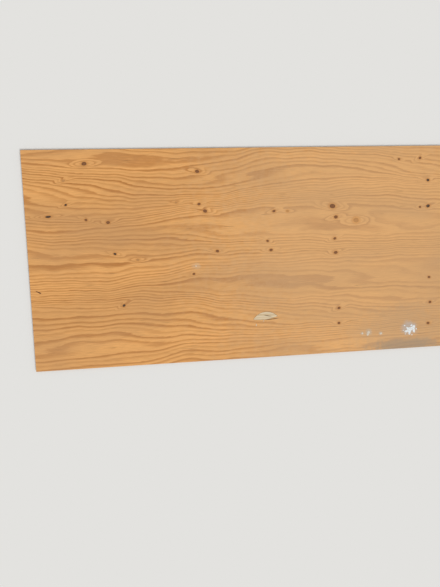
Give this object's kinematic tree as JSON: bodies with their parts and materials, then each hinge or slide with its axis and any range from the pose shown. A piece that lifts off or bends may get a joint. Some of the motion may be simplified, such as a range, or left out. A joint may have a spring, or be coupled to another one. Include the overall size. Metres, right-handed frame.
{
  "type": "plywood sheet",
  "caption": "Full flat sheet of softwood sheathing plywood with cross-laid veneers, open knotholes, core gaps and a lens-shaped face patch.",
  "frame": {"origin": "middle of the underside, on the surface that the sheet lies on", "axes": "+X along the face grain and the sheet's length, +Y across the sheet, +Z out of the better face"},
  "size_m": [2.4384, 1.2192, 0.0119],
  "materials": {
    "softwood_plywood": "rotary-cut softwood veneer, unsanded and weathered to a warm tan, with dark knots"
  },
  "bodies": {
    "root": {"plywood_sheet": "softwood_plywood"}
  },
  "joints": []
}
